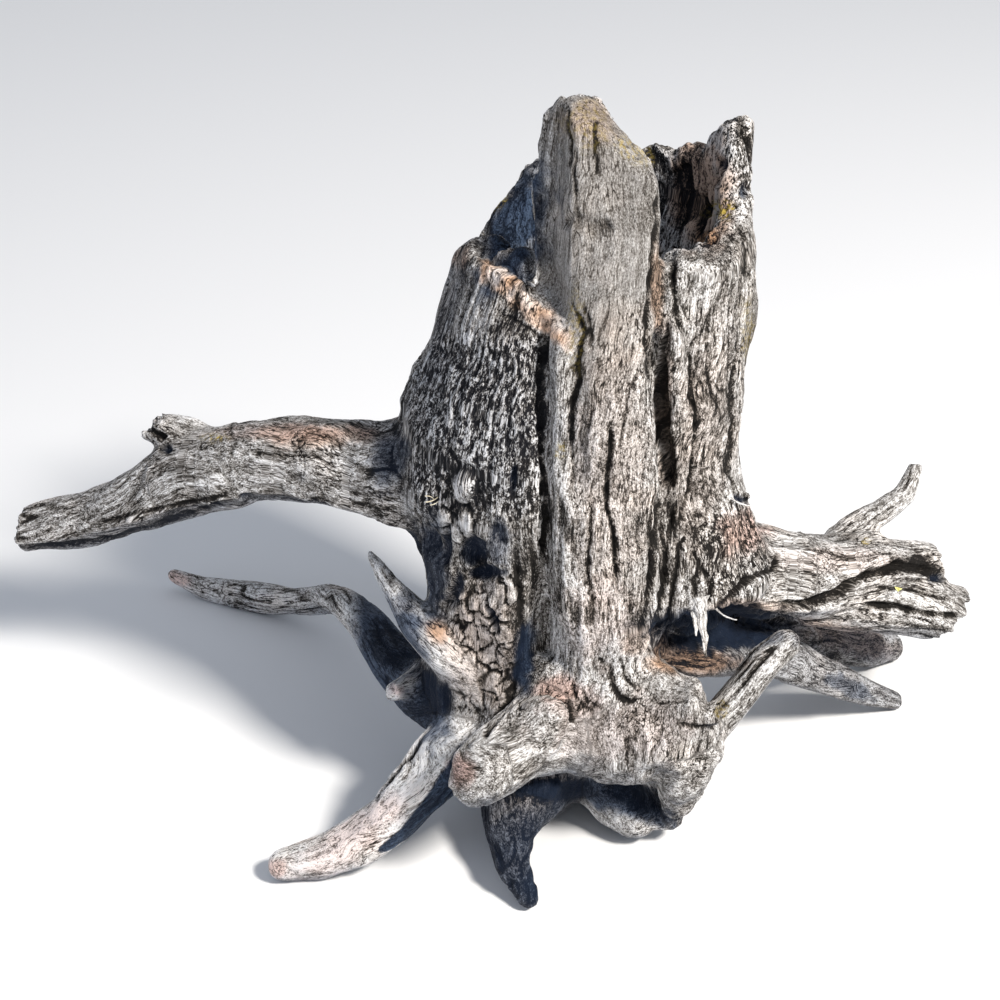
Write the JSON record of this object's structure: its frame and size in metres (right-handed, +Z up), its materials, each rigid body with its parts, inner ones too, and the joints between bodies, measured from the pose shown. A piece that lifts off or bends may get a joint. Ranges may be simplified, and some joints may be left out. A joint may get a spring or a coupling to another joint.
{
  "type": "driftwood stump",
  "caption": "Weathered grey driftwood stump: a hollow trunk with a broken, jagged rim standing on spreading, tapering roots.",
  "frame": {"origin": "middle of the bounding box's base, on the surface that the stump rests on", "axes": "+Z up, +X towards the viewer's right along the root spread, -Y towards the viewer of the picture"},
  "size_m": [1.0464, 0.6128, 0.7879],
  "materials": {
    "weathered_wood": "silver-grey, dry and cracked by sun and salt"
  },
  "bodies": {
    "root": {"trunk": "weathered_wood", "left_limb": "weathered_wood", "left_limb_snag": "weathered_wood", "wavy_root": "weathered_wood", "claw_root": "weathered_wood", "front_left_root": "weathered_wood", "front_foot": "weathered_wood", "knuckle": "weathered_wood", "toe_root": "weathered_wood", "diagonal_branch": "weathered_wood", "right_root": "weathered_wood", "right_prong": "weathered_wood", "upturned_twig": "weathered_wood", "back_right_root": "weathered_wood", "lower_right_root": "weathered_wood", "spike": "weathered_wood", "side_snag": "weathered_wood"}
  },
  "joints": []
}
